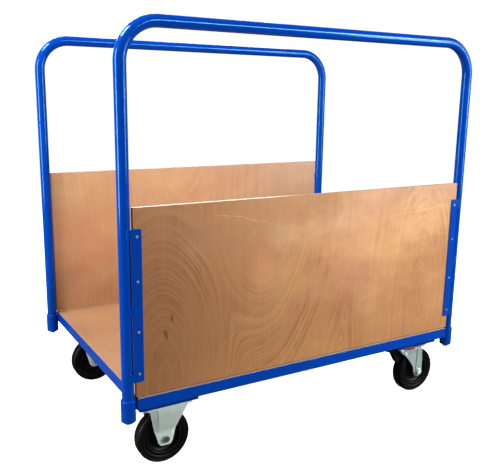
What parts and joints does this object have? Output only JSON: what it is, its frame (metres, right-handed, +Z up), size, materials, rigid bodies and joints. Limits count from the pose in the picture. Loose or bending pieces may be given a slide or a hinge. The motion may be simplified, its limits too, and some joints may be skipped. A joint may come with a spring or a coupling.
{
  "type": "platform trolley",
  "caption": "Four-wheeled platform trolley with a steel frame, plywood deck and side panels, tall tubular hoops and castors, two fixed and two swivelling.",
  "frame": {"origin": "on the floor, under the middle of the deck", "axes": "+X from the fixed castors to the swivel castors, +Y from the front panel to the back panel, +Z up"},
  "size_m": [1.22, 0.826, 1.226],
  "materials": {
    "blue_paint": "gloss powder coat, bright blue",
    "zinc_plate": "bright zinc plate with a faint green-blue passivation",
    "bearing_steel": "ground steel",
    "panel_ply": "sealed hardwood-faced plywood, grain upright",
    "deck_ply": "sealed hardwood-faced plywood",
    "tyre_rubber": "solid black rubber, satin",
    "wheel_plastic": "black moulded plastic",
    "seal_plastic": "red moulded plastic",
    "brake_plastic": "black moulded plastic"
  },
  "bodies": {
    "truck": {"axle_bolts_fixed": "zinc_plate", "axle_nuts_fixed": "zinc_plate", "axle_sleeves_fixed": "bearing_steel", "castor_beam_left": "blue_paint", "castor_beam_right": "blue_paint", "castor_bolts": "zinc_plate", "castor_nuts": "zinc_plate", "corner_socket_back_left": "blue_paint", "corner_socket_back_right": "blue_paint", "corner_socket_front_left": "blue_paint", "corner_socket_front_right": "blue_paint", "deck_bearers": "blue_paint", "deck_board": "deck_ply", "deck_screws": "zinc_plate", "end_rail_left": "blue_paint", "end_rail_right": "blue_paint", "fixed_fork_back": "zinc_plate", "fixed_fork_front": "zinc_plate", "hoop_back": "blue_paint", "hoop_front": "blue_paint", "kingpin_back": "zinc_plate", "kingpin_front": "zinc_plate", "panel_back": "panel_ply", "panel_front": "panel_ply", "panel_screws": "zinc_plate", "panel_strip_back_left": "blue_paint", "panel_strip_back_right": "blue_paint", "panel_strip_front_left": "blue_paint", "panel_strip_front_right": "blue_paint", "side_rail_back": "blue_paint", "side_rail_front": "blue_paint", "socket_bolts": "zinc_plate", "swivel_plate_back": "zinc_plate", "swivel_plate_front": "zinc_plate"},
    "fixed_wheel_front": {"tyre_fixed_front": "tyre_rubber", "wheel_centre_fixed_front": "wheel_plastic", "bearing_fixed_front": "bearing_steel"},
    "swivel_front": {"swivel_fork_front": "zinc_plate", "seal_ring_front": "seal_plastic", "ball_ring_front": "bearing_steel", "brake_pin_front": "zinc_plate", "axle_bolt_swivel_front": "zinc_plate", "axle_sleeve_swivel_front": "bearing_steel"},
    "swivel_wheel_front": {"tyre_swivel_front": "tyre_rubber", "wheel_centre_swivel_front": "wheel_plastic", "bearing_swivel_front": "bearing_steel"},
    "brake_front": {"brake_lever_front": "brake_plastic"},
    "fixed_wheel_back": {"tyre_fixed_back": "tyre_rubber", "wheel_centre_fixed_back": "wheel_plastic", "bearing_fixed_back": "bearing_steel"},
    "swivel_back": {"swivel_fork_back": "zinc_plate", "seal_ring_back": "seal_plastic", "ball_ring_back": "bearing_steel", "brake_pin_back": "zinc_plate", "axle_bolt_swivel_back": "zinc_plate", "axle_sleeve_swivel_back": "bearing_steel"},
    "swivel_wheel_back": {"tyre_swivel_back": "tyre_rubber", "wheel_centre_swivel_back": "wheel_plastic", "bearing_swivel_back": "bearing_steel"},
    "brake_back": {"brake_lever_back": "brake_plastic"}
  },
  "joints": [
    {"name": "fixed_wheel_front_spin", "type": "hinge", "parent": "truck", "child": "fixed_wheel_front", "pos_m": [-0.465, -0.318, 0.08], "axis": [0, 1, 0], "continuous": true},
    {"name": "castor_front_swivel", "type": "hinge", "parent": "truck", "child": "swivel_front", "pos_m": [0.465, -0.318, 0.18], "axis": [0, 0, 1], "continuous": true},
    {"name": "swivel_wheel_front_spin", "type": "hinge", "parent": "swivel_front", "child": "swivel_wheel_front", "pos_m": [0.513, -0.318, 0.08], "axis": [0, 1, 0], "continuous": true},
    {"name": "brake_front_press", "type": "hinge", "parent": "swivel_front", "child": "brake_front", "pos_m": [0.451, -0.318, 0.156], "axis": [0, -1, 0], "range_deg": [0, 9]},
    {"name": "fixed_wheel_back_spin", "type": "hinge", "parent": "truck", "child": "fixed_wheel_back", "pos_m": [-0.465, 0.318, 0.08], "axis": [0, 1, 0], "continuous": true},
    {"name": "castor_back_swivel", "type": "hinge", "parent": "truck", "child": "swivel_back", "pos_m": [0.465, 0.318, 0.18], "axis": [0, 0, 1], "continuous": true},
    {"name": "swivel_wheel_back_spin", "type": "hinge", "parent": "swivel_back", "child": "swivel_wheel_back", "pos_m": [0.513, 0.318, 0.08], "axis": [0, 1, 0], "continuous": true},
    {"name": "brake_back_press", "type": "hinge", "parent": "swivel_back", "child": "brake_back", "pos_m": [0.451, 0.318, 0.156], "axis": [0, -1, 0], "range_deg": [0, 9]}
  ]
}
